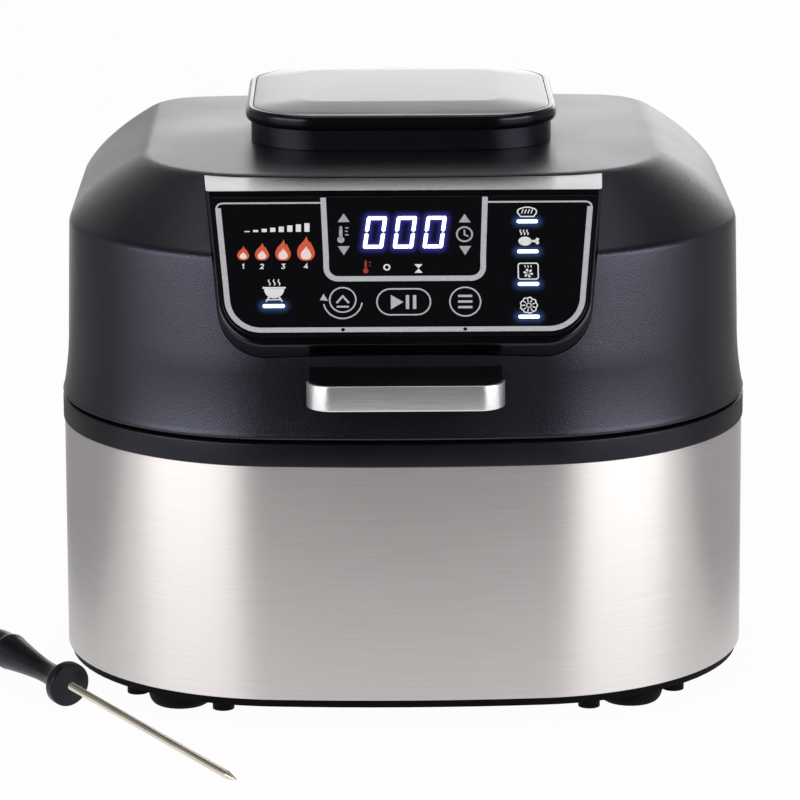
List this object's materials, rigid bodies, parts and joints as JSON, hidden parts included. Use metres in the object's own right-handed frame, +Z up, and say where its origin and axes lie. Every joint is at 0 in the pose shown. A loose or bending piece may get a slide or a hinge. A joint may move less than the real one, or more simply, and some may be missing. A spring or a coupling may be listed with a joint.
{
  "type": "countertop electric grill",
  "caption": "Countertop electric grill and air fryer: brushed steel drum base with lift-out pot and ribbed plate, hinged fan lid with slanted touch panel, and a meat probe.",
  "frame": {"origin": "on the table, under the middle of the steel base", "axes": "+X to the right as seen from the front, +Y to the back where the hinges are, +Z up; the control panel and handle face -Y"},
  "size_m": [0.4313, 0.4841, 0.315],
  "materials": {
    "black_plastic": "satin moulded, fine grain",
    "gloss_black": "gloss",
    "black_glass": "polished, printed black from behind",
    "brushed_steel": "fine brushed",
    "bright_steel": "turned and polished",
    "sheet_steel": "plain rolled sheet",
    "black_metal": "satin black",
    "coated_aluminium": "dark non-stick coating",
    "wire_steel": "bent wire",
    "rubber": "matte",
    "silicone": "matte",
    "ceramic": "unglazed",
    "circuit_board": "solder mask",
    "display": "diffusing window"
  },
  "bodies": {
    "base": {"base_pan": "black_plastic", "base_screws": "bright_steel", "foot_front_left": "rubber", "foot_front_right": "rubber", "foot_rear_left": "rubber", "foot_rear_right": "rubber", "steel_band": "brushed_steel", "back_panel": "black_plastic", "rim_ring": "black_plastic", "inner_well": "sheet_steel", "well_spacers": "black_plastic", "cord_gland": "black_plastic", "terminal_block": "ceramic", "probe_jack": "black_plastic", "hinge_bracket_left": "black_metal", "hinge_bracket_right": "black_metal", "hinge_pin_left": "bright_steel", "hinge_pin_right": "bright_steel"},
    "pot": {"cooking_pot": "coated_aluminium"},
    "grill": {"grill_plate": "coated_aluminium", "plate_loops": "wire_steel"},
    "lid": {"lid_shell": "black_plastic", "lid_liner": "black_plastic", "lid_seal": "silicone", "heat_dome": "sheet_steel", "splash_guard": "sheet_steel", "heating_element": "sheet_steel", "heater_bushes": "ceramic", "heater_hangers": "sheet_steel", "motor_bracket": "sheet_steel", "fan_motor": "sheet_steel", "thermal_cutout": "black_plastic", "power_board": "circuit_board", "panel_bezel": "gloss_black", "control_glass": "black_glass", "display_board": "circuit_board", "led_display": "display", "handle_grip": "black_plastic", "handle_trim": "brushed_steel", "cap_neck": "black_plastic", "cap_frame": "black_plastic", "cap_plate": "brushed_steel", "lid_hinge_left": "black_metal", "lid_hinge_right": "black_metal"},
    "rotor": {"motor_shaft": "bright_steel", "convection_fan": "bright_steel", "fan_nut": "bright_steel", "cooling_fan": "black_plastic"},
    "probe": {"probe_spike": "bright_steel", "probe_handle": "black_plastic"}
  },
  "joints": [
    {"name": "lid_hinge", "type": "hinge", "parent": "base", "child": "lid", "pos_m": [0, 0.199, 0.1605], "axis": [-1, 0, 0], "range_deg": [0, 80]},
    {"name": "fan_spin", "type": "hinge", "parent": "lid", "child": "rotor", "pos_m": [0, 0.01, 0.25], "axis": [0, 0, 1], "continuous": true},
    {"name": "pot_lift", "type": "slide", "parent": "base", "child": "pot", "axis": [0, 0, 1], "range_m": [0, 0.008]},
    {"name": "grate_lift", "type": "slide", "parent": "pot", "child": "grill", "axis": [0, 0, 1], "range_m": [0, 0.03]},
    {"name": "probe_lift", "type": "slide", "parent": "base", "child": "probe", "axis": [0, 0, 1], "range_m": [0, 0.15]}
  ]
}
